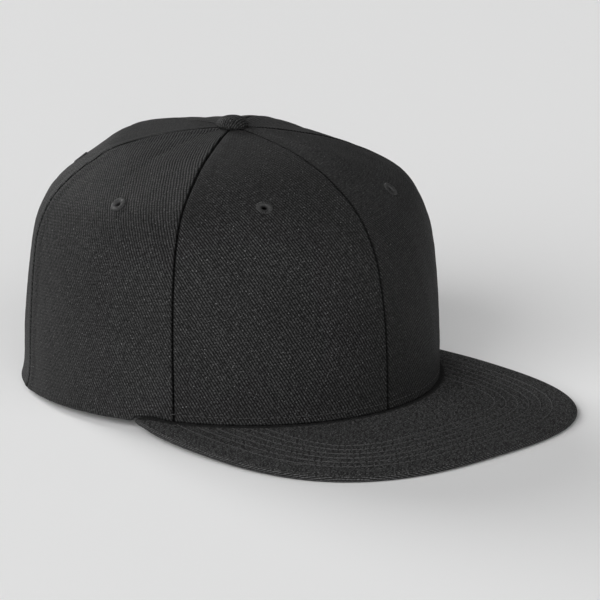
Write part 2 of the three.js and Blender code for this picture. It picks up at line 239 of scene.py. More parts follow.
# Eyelets. The profile goes from outside the ring, over it and down into the hole.
EYELET_RADIUS = 3.5
EYELET_HOLE_RADIUS = 1.1
EYELET_PROFILE = [
    (EYELET_RADIUS, -0.3),
    (EYELET_RADIUS - 0.05, 0.05),
    (EYELET_RADIUS - 0.45, 0.28),
    (EYELET_RADIUS - 1.1, 0.3),
    (EYELET_HOLE_RADIUS + 0.55, 0.12),
    (EYELET_HOLE_RADIUS + 0.3, -0.4),
    (EYELET_HOLE_RADIUS + 0.25, -1.4),
]
EYELET_THREADS = 30
EYELET_THREAD_RADIUS = 0.24
EYELET_LEAN = 0.05  # turn of a thread from one point of its profile to the next, in radians
DRILL_RADIUS = 1.8
DRILL_SIDES = 28
DRILL_REACH = 6

# Weave
RIB_PITCH = 1.2
RIB_WANDER = 0.9
FLOAT_LENGTH = 1.5
FLOAT_SHIFT = 0.37  # shift of the floats from one rib to the next
FIBRE_GREY = 0.16  # stray fibres that catch the light
# how far the painted shade darkens the cloth in the seams and in the corner over the bill
PAINTED_SHADE_DARK = 0.85
TONE_MOST = 2  # tones above 1 are lighter than the crest of a rib
UPRIGHT = (0.1, 0.4)  # steepness between which the bill's face turns into its edge
PLY_LENGTH = 0.55  # length of one turn of a thread's ply
PLY_SLANT = 2.2
BAND_PITCH = 0.45

# Photo's camera, placed from the crown's axis
CAMERA = (1129.057, -1058.429, 454.002)
CAMERA_AZIMUTH = 44.252  # degrees from the front towards the wearer's right
CAMERA_ELEVATION = 15.087
CAMERA_LENS = 215.49
CAMERA_SENSOR = 36

# Studio. Each light has its heading as seen from the cap and its width in degrees.
LIGHTS = [
    {"name": "left_light", "heading": (0.1, -0.91, 0.42), "width": 45, "strength": 2.3},
    {"name": "camera_light", "heading": (0.65, -0.63, 0.42), "width": 45, "strength": 1.7},
    {"name": "back_left_light", "heading": (-0.88, 0.08, 0.42), "width": 25, "strength": 1.7},
    {"name": "right_light", "heading": (0.91, 0.01, 0.42), "width": 45, "strength": 0.4},
]
SKY_STRENGTH = 0.05
FLOOR_RADIUS = 9000
FLOOR_SIDES = 64
FLOOR_GREY = 0.86

dice = random.Random(7)


def smoothstep(low, high, value):
    t = np.clip((value - low) / (high - low), 0, 1)
    return t * t * (3 - 2 * t)


# Rim and crown surface

def rim_radius(angle):
    lengthwise = (RIM_FRONT + RIM_BACK) / 2
    mean = (lengthwise + RIM_SIDE) / 2
    oval = (lengthwise - RIM_SIDE) / 2
    forward = (RIM_FRONT - RIM_BACK) / 2 - RIM_EGG
    return (
        mean + forward * np.cos(angle) + oval * np.cos(2 * angle) + RIM_EGG * np.cos(3 * angle)
    )


def column_at(column, place):
    """One column of CROWN_ROWS as a smooth curve, read at a place counted in rows."""
    values = np.array(CROWN_ROWS[column], dtype=float)
    first = 2 * values[0] - values[1]
    last = 2 * values[-1] - values[-2]
    padded = np.concatenate([[first], values, [last]])
    row = np.clip(np.floor(place).astype(int), 0, TOP - 1)
    t = place - row
    before, here, after, beyond = (padded[row + i] for i in range(4))
    bend = 2 * before - 5 * here + 4 * after - beyond
    twist = 3 * (here - after) + beyond - before
    return here + 0.5 * t * (after - before + t * (bend + t * twist))


PLACES = np.linspace(0, TOP, 4001)
PLACE_HEIGHTS = column_at("height", PLACES) * CROWN_HEIGHT


def place_at_height(height):
    return np.interp(height, PLACE_HEIGHTS, PLACES)


def seam_angle(seam, height):
    row = SEAMS[seam]
    return np.radians(row["angle"] - row["bow"] * np.sin(np.pi * np.clip(height, 0, 1)))


def crown_points(seam, side, share, place):
    """Points of the crown's outer face, a share of the way across the panel after a seam."""
    height = column_at("height", place)
    start = seam_angle(seam, height)
    angle = start + (seam_angle(seam + 1, height) - start) * share
    fullness_here = column_at(SEAMS[seam]["column"], place)
    fullness_next = column_at(SEAMS[seam + 1]["column"], place)
    fullness = fullness_here + (fullness_next - fullness_here) * smoothstep(0, 1, share)
    flat = PANEL_FLATNESS * np.sin(np.pi * np.clip(height, 0, 1) ** 1.5)
    radius = TIP_RADIUS + (rim_radius(angle) - TIP_RADIUS) * fullness
    radius = radius - flat * np.sin(np.pi * share)
    return np.stack(
        [radius * np.cos(angle), side * radius * np.sin(angle), height * CROWN_HEIGHT], axis=-1
    )


def panel_of(angle):
    """The seam before an angle, and the share of the way to the next seam, at the rim."""
    turn = abs(angle)
    seam = 0
    while seam < len(SEAMS) - 2 and turn > seam_angle(seam + 1, 0):
        seam += 1
    start = seam_angle(seam, 0)
    return seam, (turn - start) / (seam_angle(seam + 1, 0) - start)


# Bill surface

CORNER_ANGLE = math.radians(BILL_CORNER_ANGLE)
CORNER_RADIUS = float(rim_radius(CORNER_ANGLE))
CORNER_X = CORNER_RADIUS * math.cos(CORNER_ANGLE)
CORNER_Y = CORNER_RADIUS * math.sin(CORNER_ANGLE)
BILL_FRONT = RIM_FRONT + BILL_REACH
BILL_WIDEST = CORNER_X + BILL_SIDE_RUN
BILL_HALF_WIDTH = CORNER_Y + BILL_FLARE


def bill_rise(x, y):
    behind = BILL_FRONT - x
    climb = math.tan(math.radians(BILL_PITCH)) * behind
    return climb - BILL_DISH * (behind / 100) ** 2 - BILL_ARCH * (y / BILL_HALF_WIDTH) ** 2


def bill_half_outline():
    """Half of the bill's outline, from the middle of the front edge to the left corner."""
    turn = np.linspace(0, math.pi / 2, OUTLINE_FRONT_STEPS + 1)
    power = 2 / BILL_ROUNDNESS
    front_x = BILL_WIDEST + (BILL_FRONT - BILL_WIDEST) * np.clip(np.cos(turn), 0, 1) ** power
    front_y = BILL_HALF_WIDTH * np.sin(turn) ** power
    share = np.linspace(0, 1, OUTLINE_SIDE_STEPS + 1)[1:]
    side_x = BILL_WIDEST + (CORNER_X - BILL_WIDEST) * share
    side_y = BILL_HALF_WIDTH + (CORNER_Y - BILL_HALF_WIDTH) * share**2
    return np.stack([np.append(front_x, side_x), np.append(front_y, side_y)], axis=-1)


def distances_along(points, axis=0):
    """Distance of each point of a polyline, or of the lines of a grid, from its start."""
    steps = np.linalg.norm(np.diff(points, axis=axis), axis=-1)
    return np.insert(np.cumsum(steps, axis=axis), 0, 0, axis=axis)


def resampled(points, count):
    """Points at even spacing along a polyline."""
    along = distances_along(points)
    wanted = np.linspace(0, along[-1], count)
    return np.stack([np.interp(wanted, along, points[:, i]) for i in range(points.shape[1])], -1)


half_outline = bill_half_outline()
BILL_LIFT = -float(np.min(bill_rise(half_outline[:, 0], half_outline[:, 1])))
BILL_OUTLINE = resampled(
    np.concatenate([half_outline[:0:-1] * [1, -1], half_outline]), BILL_SECTIONS + 1
)


def crown_distance(x, y):
    """Distance of a place on the bill from the crown."""
    return np.hypot(x, y) - rim_radius(np.arctan2(y, x))


def bill_top(x, y):
    angle = np.degrees(np.abs(np.arctan2(y, x)))
    puff = BILL_PUFF * np.exp(-(((angle - BILL_PUFF_ANGLE) / BILL_PUFF_SPREAD) ** 2))
    puff = puff * np.exp(-np.clip(crown_distance(x, y), 0, None) / BILL_PUFF_REACH)
    return BILL_THICKNESS + BILL_LIFT + bill_rise(x, y) + puff


def edge_distance(x, y):
    """Distance in from the bill's outline."""
    starts = BILL_OUTLINE[:-1]
    runs = BILL_OUTLINE[1:] - starts
    squares = (runs**2).sum(axis=1)
    nearest = np.full(x.shape, np.inf)
    for start, run, square in zip(starts, runs, squares):
        t = np.clip(((x - start[0]) * run[0] + (y - start[1]) * run[1]) / square, 0, 1)
        away = np.hypot(x - start[0] - t * run[0], y - start[1] - t * run[1])
        nearest = np.minimum(nearest, away)
    return nearest


# Lower edge of the crown

def hem_height(angle):
    start = float(bill_top(CORNER_X, CORNER_Y)) - HEM_DROP
    share = (np.abs(angle) - CORNER_ANGLE) / (math.radians(REST_ANGLE) - CORNER_ANGLE)
    return start * (1 - np.clip(share, 0, 1))


STEP_START = CORNER_ANGLE + PIECE_GAP / CORNER_RADIUS
STEP_END = CORNER_ANGLE + HEM_STEP / CORNER_RADIUS


def edge_height(angle, radius, rise):
    x = radius * np.cos(angle)
    y = radius * np.sin(angle)
    step = smoothstep(STEP_START, STEP_END, np.abs(angle))
    over_bill = bill_top(x, y) + rise
    return over_bill + (hem_height(angle) - over_bill) * step


# Meshes

def mesh_object(name, points, faces, cloth=None, painted_shade=None):
    """Makes an object of points in millimetres, with cloth coordinates and a painted shade mask if
    any.
    """
    mesh = bpy.data.meshes.new(name)
    placed = (np.asarray(points).reshape(-1, 3) + [AXIS_X, 0, 0]) * MM
    mesh.from_pydata(placed.tolist(), [], faces)
    if cloth is not None:
        layer = mesh.uv_layers.new(name="cloth")
        corners = np.empty(len(mesh.loops), dtype=np.int32)
        mesh.loops.foreach_get("vertex_index", corners)
        flat = (np.asarray(cloth).reshape(-1, 2) * MM)[corners]
        layer.data.foreach_set("uv", flat.ravel())
    if painted_shade is not None:
        layer = mesh.attributes.new("painted_shade", "FLOAT", "POINT")
        layer.data.foreach_set("value", np.asarray(painted_shade, dtype=np.float32).ravel())
    mesh.shade_smooth()
    piece = bpy.data.objects.new(name, mesh)
    bpy.context.scene.collection.objects.link(piece)
    return piece


def lofted_faces(sections, size, start=0, closed_run=False, flip=False):
    """Quads that join sections, each a closed loop of as many points."""
    faces = []
    for i in range(sections if closed_run else sections - 1):
        here = start + i * size
        after = start + ((i + 1) % sections) * size
        for j in range(size):
            k = (j + 1) % size
            quad = (here + j, here + k, after + k, after + j)
            faces.append(quad[::-1] if flip else quad)
    return faces


def paired_cap(start, size, flip=False):
    """Quads over one end of a loft whose loop goes out along one face and back along the other."""
    faces = []
    for j in range(size // 2 - 1):
        quad = (start + j, start + j + 1, start + size - 2 - j, start + size - 1 - j)
        faces.append(quad[::-1] if flip else quad)
    return faces


def grid_normals(points):
    along = np.gradient(points, axis=0)
    up = np.gradient(points, axis=1)
    normals = np.cross(along, up)
    return normals / np.linalg.norm(normals, axis=-1, keepdims=True)


def turned_cloth(flat, degrees):
    """Cloth coordinates from flat ones: the first runs across the ribs, the second along them."""
    grain = math.radians(degrees)
    u, v = flat[..., 0], flat[..., 1]
    return np.stack(
        [u * math.sin(grain) + v * math.cos(grain), v * math.sin(grain) - u * math.cos(grain)], -1
    )


def rolled(distance, width, depth):
    """How far a cloth edge that rolls over lies below its face."""
    t = 1 - np.clip(distance / width, 0, 1)
    return depth * (1 - np.sqrt(1 - t * t))


def unevenness(u, v, longest):
    """A smooth, seeded swell of about one unit over cloth coordinates."""
    total = np.zeros(u.shape)
    for order in range(WAVES):
        wave = longest / WAVE_SHRINK**order
        heading = dice.uniform(0, math.pi)
        phase = dice.uniform(0, 2 * math.pi)
        total += np.sin(
            2 * math.pi * (u * math.cos(heading) + v * math.sin(heading)) / wave + phase
        ) / WAVE_FADE**order
    return total / 4


# Panels

def rim_angles(panel, share):
    """Angles round the rim, shares of the way across a panel."""
    start = seam_angle(panel["seam"], 0)
    return start + (seam_angle(panel["seam"] + 1, 0) - start) * share


def panel_grid(panel):
    """Outer face of a panel as a grid of points, with its columns' shares and lower ends."""
    even = np.linspace(0, 1, PANEL_COLUMNS + 1)
    share = even - COLUMN_CROWDING * np.sin(2 * np.pi * even) / (2 * np.pi)
    start, end = rim_angles(panel, np.array([0, 1]))
    corner = np.linspace(STEP_START - start, STEP_END - start, CORNER_COLUMNS) / (end - start)
    inside = corner[(corner > 0) & (corner < 1)]
    if len(inside):
        apart = (share < inside[0] - CORNER_SPACE) | (share > inside[-1] + CORNER_SPACE)
        share = np.sort(np.concatenate([share[apart], inside]))
    rim_angle = rim_angles(panel, share)
    foot = edge_height(rim_angle, rim_radius(rim_angle), PIECE_GAP)
    first = foot[:, None] + np.array(FOOT_ROWS)[None, :]
    climb = np.linspace(0, 1, LOW_ROWS + 1)[None, 1:]
    low = first[:, -1:] + (LEVEL_HEIGHT - first[:, -1:]) * climb
    low_places = place_at_height(np.concatenate([first, low], axis=1))
    high_places = np.linspace(place_at_height(LEVEL_HEIGHT), TOP, HIGH_ROWS + 1)[1:]
    high_places = np.repeat(high_places[None, :], len(share), axis=0)
    place = np.concatenate([low_places, high_places], axis=1)
    shares = np.repeat(share[:, None], place.shape[1], axis=1)
    return crown_points(panel["seam"], panel["side"], shares, place), share, foot


def top_relief(seam, share, height):
    """The rise beside the seams and the sag between them, on the upper part of the crown."""
    crest_climb = np.clip((height - TOP_CREST_START) / (1 - TOP_CREST_START), 0, 1)
    near_seam = np.abs(np.cos(np.pi * share)) ** TOP_CREST_WIDENING
    sag_climb = np.clip((height - TOP_SAG_START) / (TOP_SAG_END - TOP_SAG_START), 0, 1)
    sag = TOP_SAG * np.sin(np.pi * sag_climb**2) * np.sin(np.pi * share) ** 2
    if seam == 0:
        near_seam = near_seam * smoothstep(*FRONT_CREST, share)
        sag = sag * FRONT_SAG
    relief = TOP_CREST * np.sin(np.pi * crest_climb) * near_seam - sag
    if seam == len(SEAMS) - 2:
        low = np.clip(height / BACK_SWELL_END, 0, 1)
        relief = relief + BACK_SWELL * np.sin(np.pi * low) * np.sin(np.pi * share)
    return relief


def top_step(seam, across, width, height):
    """The step at the seam between the front and side panels, near the button."""
    climb = smoothstep(*TOP_STEP_CLIMB, height) * (1 - smoothstep(*TOP_STEP_END, height))
    if seam == 1:
        return TOP_STEP * climb * (1 - smoothstep(*TOP_STEP_SIDE, across))
    if seam == 0:
        return -TOP_STEP * climb * (1 - smoothstep(*TOP_STEP_FRONT, width - across))
    return np.zeros(height.shape)


def front_puff(share, height):
    """A soft fold on the front left panel, beside the front seam near the button."""
    sideways = np.exp(-(((share - FRONT_PUFF_SHARE) / FRONT_PUFF_WIDTH) ** 2))
    upward = np.exp(-(((height - FRONT_PUFF_HEIGHT) / FRONT_PUFF_LENGTH) ** 2))
    return FRONT_PUFF * sideways * upward * smoothstep(0, FRONT_PUFF_SEAM, share)


def seam_ridge(seam, across, width, seam_away):
    """The cloth's rise beside a seam, where the allowances are folded back behind it."""
    before, after = (SEAMS[seam + i]["ridge"] for i in (0, 1))
    ridge = before + (after - before) * smoothstep(0.3, 0.7, across / width)
    ridge = ridge * smoothstep(0, RIDGE_START, seam_away)
    low, high = SEAM_ALLOWANCE - ALLOWANCE_FADE, SEAM_ALLOWANCE + ALLOWANCE_FADE
    return ridge * (1 - smoothstep(low, high, seam_away))


def panel_painted_shade(panel, share, seam_away, up):
    """Painted shade of the panel's cloth in a seam and in the corner over the bill, from 0 to 1."""
    over_bill = 1 - smoothstep(STEP_START, STEP_END, rim_angles(panel, share))
    at_hem = (1 - smoothstep(*HEM_PAINTED_SHADE, up)) * over_bill[:, None]
    return np.maximum(1 - smoothstep(*SEAM_PAINTED_SHADE, seam_away), at_hem)


def build_panel(panel):
    points, share, foot = panel_grid(panel)
    seam, side = panel["seam"], panel["side"]
    height = points[..., 2] / CROWN_HEIGHT
    across = distances_along(points)
    width = across[-1:, :]
    up = distances_along(points, axis=1)
    seam_away = np.minimum(across, width - across)
    u = side * (across - width / 2)
    v = up + foot[:, None]

    ridge = seam_ridge(seam, across, width, seam_away) + top_step(seam, across, width, height)
    calm = smoothstep(0, UNEVEN_MARGIN, seam_away) * smoothstep(0, UNEVEN_MARGIN, up)
    swell = UNEVENNESS * unevenness(u, v, UNEVEN_LENGTH) * calm
    swell = swell + top_relief(seam, across / width, height)
    if panel["name"] == "front_left":
        swell = swell + front_puff(across / width, height)
    edge = rolled(seam_away, SEAM_ROLL, SEAM_DEPTH)
    hem = rolled(up, HEM_ROLL, HEM_DEPTH)
    normals = grid_normals(points) * side
    outer = points + normals * (ridge + swell - edge - hem)[..., None]
    inner = points + normals * (swell - CLOTH + hem * (CLOTH / HEM_ROLL - 1))[..., None]
    for face in (outer, inner):
        face[..., 2] = np.maximum(face[..., 2], foot[:, None])
    half_gap = PIECE_GAP / 2 * (1 - 2 * across / width)
    sideways = np.cross(np.array([0, 0, 1.0]), points * [1, 1, 0])
    sideways = side * sideways / np.linalg.norm(sideways, axis=-1, keepdims=True)
    outer = outer + sideways * half_gap[..., None]

    cloth = turned_cloth(np.stack([u, v], -1), panel["grain"])
    # painted shade: the cloth darkened in its seams and in the corner over the bill
    painted_shade = panel_painted_shade(panel, share, seam_away, up)
    loops = np.concatenate([outer, inner[:, ::-1]], axis=1)
    cloth_loops = np.concatenate([cloth, cloth[:, ::-1]], axis=1)
    painted_shade_loops = np.concatenate([painted_shade, painted_shade[:, ::-1]], axis=1)
    columns, size = loops.shape[:2]
    faces = lofted_faces(columns, size, flip=side > 0)
    faces += paired_cap(0, size, flip=side < 0)
    faces += paired_cap((columns - 1) * size, size, flip=side > 0)
    piece = mesh_object(panel["name"] + "_twill", loops, faces, cloth_loops, painted_shade_loops)
    drill_eyelet(piece, panel)
    return piece


def eyelet_seat(panel):
    """Matrix of an eyelet: its origin on the crown's outer face, its z axis square to it."""
    place = place_at_height(np.array([panel["up"] * CROWN_HEIGHT]))
    share = np.array([panel["across"]])
    tiny = 1e-3

    def at(more_share, more_place):
        here = crown_points(panel["seam"], panel["side"], share + more_share, place + more_place)
        return Vector(here[0])

    point = at(0, 0)
    across = at(tiny, 0) - at(-tiny, 0)
    up = at(0, tiny) - at(0, -tiny)
    normal = (across.cross(up) * panel["side"]).normalized()
    turn = normal.to_track_quat("Z", "Y").to_matrix().to_4x4()
    point += normal * float(top_relief(panel["seam"], panel["across"], panel["up"]))
    place_mm = Matrix.Translation(point + Vector((AXIS_X, 0, 0)))
    return Matrix.Scale(MM, 4) @ place_mm @ turn


def drill_eyelet(piece, panel):
    sides = DRILL_SIDES
    angles = np.linspace(0, 2 * np.pi, sides, endpoint=False)
    ring = np.stack([np.cos(angles), np.sin(angles)], -1) * DRILL_RADIUS
    points = [(x, y, z) for z in (-DRILL_REACH, DRILL_REACH) for x, y in ring]
    faces = [tuple(range(sides))[::-1], tuple(range(sides, 2 * sides))]
    faces += [(i, (i + 1) % sides, sides + (i + 1) % sides, sides + i) for i in range(sides)]
    mesh = bpy.data.meshes.new("drill")
    mesh.from_pydata(points, [], faces)
    mesh.transform(eyelet_seat(panel))
    drill = bpy.data.objects.new("drill", mesh)
    bpy.context.scene.collection.objects.link(drill)
    cut = piece.modifiers.new("hole", "BOOLEAN")
    cut.object = drill
    cut.operation = "DIFFERENCE"
    cut.solver = "EXACT"
    graph = bpy.context.evaluated_depsgraph_get()
    drilled = bpy.data.meshes.new_from_object(piece.evaluated_get(graph))
    piece.modifiers.clear()
    piece.data = drilled
    bpy.data.objects.remove(drill)


# Threads

def tube_rings(path, radius, sides):
    """Rings of points round a short path."""
    path = np.asarray(path, dtype=float)
    tangents = np.gradient(path, axis=0)
    tangents /= np.linalg.norm(tangents, axis=1, keepdims=True)
    upward = np.array([0, 0, 1.0]) if abs(tangents[0][2]) < 0.9 else np.array([1.0, 0, 0])
    turns = np.linspace(0, 2 * np.pi, sides, endpoint=False)
    rings = []
    for point, tangent in zip(path, tangents):
        sideways = np.cross(upward, tangent)
        sideways /= np.linalg.norm(sideways)
        upward = np.cross(tangent, sideways)
        spokes = np.outer(np.cos(turns), sideways) + np.outer(np.sin(turns), upward)
        rings.append(point + radius * spokes)
    return np.concatenate(rings)


def tube_faces(rings, sides, start=0):
    """Faces of a tube of rings, closed at both ends."""
    first = tuple(start + j for j in range(sides))[::-1]
    last = tuple(start + (rings - 1) * sides + j for j in range(sides))
    return lofted_faces(rings, sides, start) + [first, last]


def joined_tubes(name, paths, radius):
    """One mesh of many short threads. Its cloth coordinates run round and along each thread."""
    points = []
    faces = []
    cloth = []
    start = 0
    for path in paths:
        rings = len(path)
        points.append(tube_rings(path, radius, THREAD_SIDES))
        faces += tube_faces(rings, THREAD_SIDES, start)
        along = np.repeat(np.linspace(0, 1, rings), THREAD_SIDES) * STITCH_LENGTH
        along = along + dice.uniform(0, 90)
        share_round = np.tile(np.arange(THREAD_SIDES) / THREAD_SIDES, rings)
        cloth.append(np.stack([share_round * 2 * math.pi * radius, along], axis=-1))
        start += rings * THREAD_SIDES
    return mesh_object(name, np.concatenate(points), faces, np.concatenate(cloth))


def stitch_path(point, along, normal, length):
    """A stitch that rises out of the cloth, lies on it and dips back in."""
    length = length * dice.uniform(0.9, 1.06)
    slant = dice.uniform(-0.08, 0.08)
    heading = along + slant * np.cross(normal, along)
    path = []
    for t in np.linspace(-1, 1, STITCH_POINTS):
        lift = STITCH_LIFT * (2 * math.sqrt(max(1 - t * t, 0)) - 1)
        path.append(point + heading * (t * length / 2) + normal * lift)
    return path


def stitches_along(path, normals, length, keep=lambda point: True):
    """Stitches at STITCH_PITCH along a path, where keep says so."""
    along = distances_along(path)

    def read(values, distance):
        return np.array([np.interp(distance, along, values[:, i]) for i in range(3)])

    made = []
    at = STITCH_PITCH * dice.uniform(0.3, 0.7)
    while at < along[-1]:
        point = read(path, at)
        if keep(point):
            normal = read(normals, at)
            heading = read(path, at + 0.5) - read(path, at - 0.5)
            heading = heading / np.linalg.norm(heading)
            made.append(stitch_path(point, heading, normal / np.linalg.norm(normal), length))
        at += STITCH_PITCH * dice.uniform(0.97, 1.03)
    return made


# Bill

def build_bill():
    angles = np.linspace(-CORNER_ANGLE, CORNER_ANGLE, BILL_SECTIONS + 1)
    inner_radius = rim_radius(angles) - CLOTH
    inner = np.stack([inner_radius * np.cos(angles), inner_radius * np.sin(angles)], -1)
    outward = BILL_OUTLINE - inner
    reach = np.linalg.norm(outward, axis=1, keepdims=True)
    outward = outward / reach
    from_end = np.linspace(0, 1, BILL_SECTIONS + 1)
    from_end = np.minimum(from_end, 1 - from_end) * distances_along(BILL_OUTLINE)[-1]
    t = 1 - np.clip(from_end / BILL_END_RUN, 0, 1)
    taper = np.sqrt(1 - t * t)[:, None]
    half = BILL_THICKNESS / 2
    shortened = BILL_END_REACH + (1 - BILL_END_REACH) * taper
    centre = inner + outward * ((reach - half) * shortened)

    share = np.linspace(0, 1, BILL_ROWS + 1)
    plan = inner[:, None] + (centre - inner)[:, None] * share[None, :, None]
    x, y = plan[..., 0], plan[..., 1]
    away = edge_distance(x, y)
    outside = crown_distance(x, y)
    groove = row_grooves(away) * smoothstep(0, ROW_GROOVE_END, outside)
    swell = BILL_UNEVENNESS * unevenness(x, y, BILL_UNEVEN_LENGTH)
    swell = swell * smoothstep(*BILL_UNEVEN_START, away)
    fall = BILL_EDGE_FALL * (1 - np.clip((away - half) / BILL_EDGE_WIDTH, 0, 1)) ** 2
    middle = bill_top(x, y) - half
    thin = half * (BILL_END_THICKNESS + (1 - BILL_END_THICKNESS) * taper)
    top = middle + thin + swell - groove - fall
    bottom = middle - thin + np.maximum(swell, 0) + groove + fall * BILL_UNDER_FALL

    turns = np.radians(np.linspace(90, -90, BILL_EDGE_STEPS + 1))[1:-1]
    edge_plan = centre[:, None] + outward[:, None] * (half * np.cos(turns))[None, :, None]
    edge_middle = (top[:, -1:] + bottom[:, -1:]) / 2
    edge_half = (top[:, -1:] - bottom[:, -1:]) / 2
    edge_z = edge_middle + edge_half * np.sin(turns)[None, :]
    upper = np.concatenate([plan, top[..., None]], axis=-1)
    edge = np.concatenate([edge_plan, edge_z[..., None]], axis=-1)
    lower = np.concatenate([plan, bottom[..., None]], axis=-1)[:, ::-1]
    loops = np.concatenate([upper, edge, lower], axis=1)

    arc = half * (math.pi / 2 - turns)
    edge_cloth = centre[:, None] + outward[:, None] * arc[None, :, None]
    lower_cloth = 2 * centre[:, None] + outward[:, None] * (half * math.pi) - plan[:, ::-1]
    cloth = turned_cloth(np.concatenate([plan, edge_cloth, lower_cloth], axis=1), BILL_GRAIN)
    # painted shade: the bill's top darkened next to the crown
    painted_shade = np.zeros(loops.shape[:2])
    painted_shade[:, : BILL_ROWS + 1] = 1 - smoothstep(*BILL_PAINTED_SHADE, outside)
    return mesh_object("bill_twill", loops, tube_faces(*loops.shape[:2]), cloth, painted_shade)


def row_distances():
    return [BILL_ROW_FIRST + BILL_ROW_STEP * i for i in range(BILL_ROW_COUNT)]


def row_grooves(away):
    """Depth of the quilting: the cloth is drawn down along each row of stitches."""
    depth = np.zeros(away.shape)
    for distance in row_distances():
        depth = np.maximum(depth, np.exp(-(((away - distance) / ROW_GROOVE_WIDTH) ** 2)))
    return ROW_GROOVE * depth


def row_curve(distance):
    """A row of stitches on the bill: the outline moved in by a distance."""
    tangents = np.gradient(BILL_OUTLINE, axis=0)
    tangents /= np.linalg.norm(tangents, axis=1, keepdims=True)
    inward = np.stack([-tangents[:, 1], tangents[:, 0]], -1)
    curve = BILL_OUTLINE + inward * distance
    true_distance = edge_distance(curve[:, 0], curve[:, 1])
    curve = curve[np.abs(true_distance - distance) < 0.15]
    return resampled(curve, BILL_ROW_POINTS)


def build_bill_stitches():
    """The rows of stitches on both faces of the bill."""
    paths = []
    sunk = ROW_GROOVE - BILL_ROW_LIFT
    for distance in row_distances():
        x, y = row_curve(distance).T
        face = bill_top(x, y)
        under = np.maximum(face - BILL_THICKNESS + sunk, UNDERSTITCH_LOWEST)
        up = np.tile([0, 0, 1.0], (len(x), 1))
        for height, normals in ((face - sunk, up), (under, -up)):
            row = np.stack([x, y, height], -1)
            paths += stitches_along(row, normals, STITCH_LENGTH, clear_of_crown)
    return joined_tubes("bill_stitches", paths, STITCH_RADIUS)


def clear_of_crown(point):
    return crown_distance(point[0], point[1]) > BILL_ROW_END


def build_topstitch():
    """The row along the crown's lower edge, over the bill."""
    path = []
    normals = []
    for angle in np.radians(np.linspace(-BILL_CORNER_ANGLE, BILL_CORNER_ANGLE, TOPSTITCH_POINTS)):
        seam, share = panel_of(angle)
        radius = rim_radius(angle)
        foot = bill_top(radius * math.cos(angle), radius * math.sin(angle)) + PIECE_GAP
        place = place_at_height(np.array([foot + TOPSTITCH_RISE]))
        path.append(crown_points(seam, 1 if angle > 0 else -1, np.array([share]), place)[0])
        normals.append([math.cos(angle), math.sin(angle), 0])
    normals = np.array(normals)
    path = np.array(path) - normals * TOPSTITCH_SINK
    stitches = stitches_along(path, normals, TOPSTITCH_LENGTH)
    return joined_tubes("topstitch", stitches, STITCH_RADIUS)


def build_loose_ends():
    """Thread ends that stick out of the bill's stitches."""
    paths = []
    for x, y in LOOSE_ENDS:
        heading = dice.uniform(0, 2 * math.pi)
        path = []
        for t in np.linspace(0, 1, LOOSE_POINTS):
            height = LOOSE_FOOT + LOOSE_RISE * math.sin(math.pi * t)
            path.append((x, y, bill_top(x, y) + height))
            heading += dice.uniform(-0.6, 0.9)
            x += LOOSE_STEP * math.cos(heading)
            y += LOOSE_STEP * math.sin(heading)
        paths.append(path)
    return joined_tubes("loose_ends", paths, LOOSE_RADIUS)


# Button

def build_button():
    base = button_low.z / MM
    profile = [(0.0, base + 0.05), (BUTTON_BASE_RADIUS * 0.6, base + 0.02), (BUTTON_BASE_RADIUS, base)]
    for i in range(BUTTON_ROWS):
        turn = math.pi / 2 * i / BUTTON_ROWS
        radius = BUTTON_RADIUS * math.cos(turn) ** BUTTON_FULLNESS
        height = base + BUTTON_SKIRT + (BUTTON_HEIGHT - BUTTON_SKIRT) * math.sin(turn)
        profile.append((radius, height))
    profile.append((0.0, base + BUTTON_HEIGHT))
    along = distances_along(np.array(profile))
    from_top = along[-1] - along
    points = [(0, 0, profile[0][1])]
    flat = [(from_top[0], 0)]
    for (radius, height), away in zip(profile[1:-1], from_top[1:-1]):
        low = max(0, 1 - (height - base) / BUTTON_TUCK_HEIGHT)
        for side in range(BUTTON_SIDES):
            angle = 2 * math.pi * side / BUTTON_SIDES
            tucked = radius * (1 + BUTTON_TUCK_DEPTH * math.cos(BUTTON_TUCKS * angle) * low)
            points.append((tucked * math.cos(angle), tucked * math.sin(angle), height))
            flat.append((away * math.cos(angle), away * math.sin(angle)))
    points.append((0, 0, profile[-1][1]))
    flat.append((0, 0))
    rings = len(profile) - 2
    faces = lofted_faces(rings, BUTTON_SIDES, start=1)
    last = len(points) - 1
    top_ring = last - BUTTON_SIDES
    for j in range(BUTTON_SIDES):
        k = (j + 1) % BUTTON_SIDES
        faces.append((0, 1 + k, 1 + j))
        faces.append((last, top_ring + j, top_ring + k))
    return mesh_object("button_twill", points, faces, turned_cloth(np.array(flat), BUTTON_GRAIN))


# Sweatband

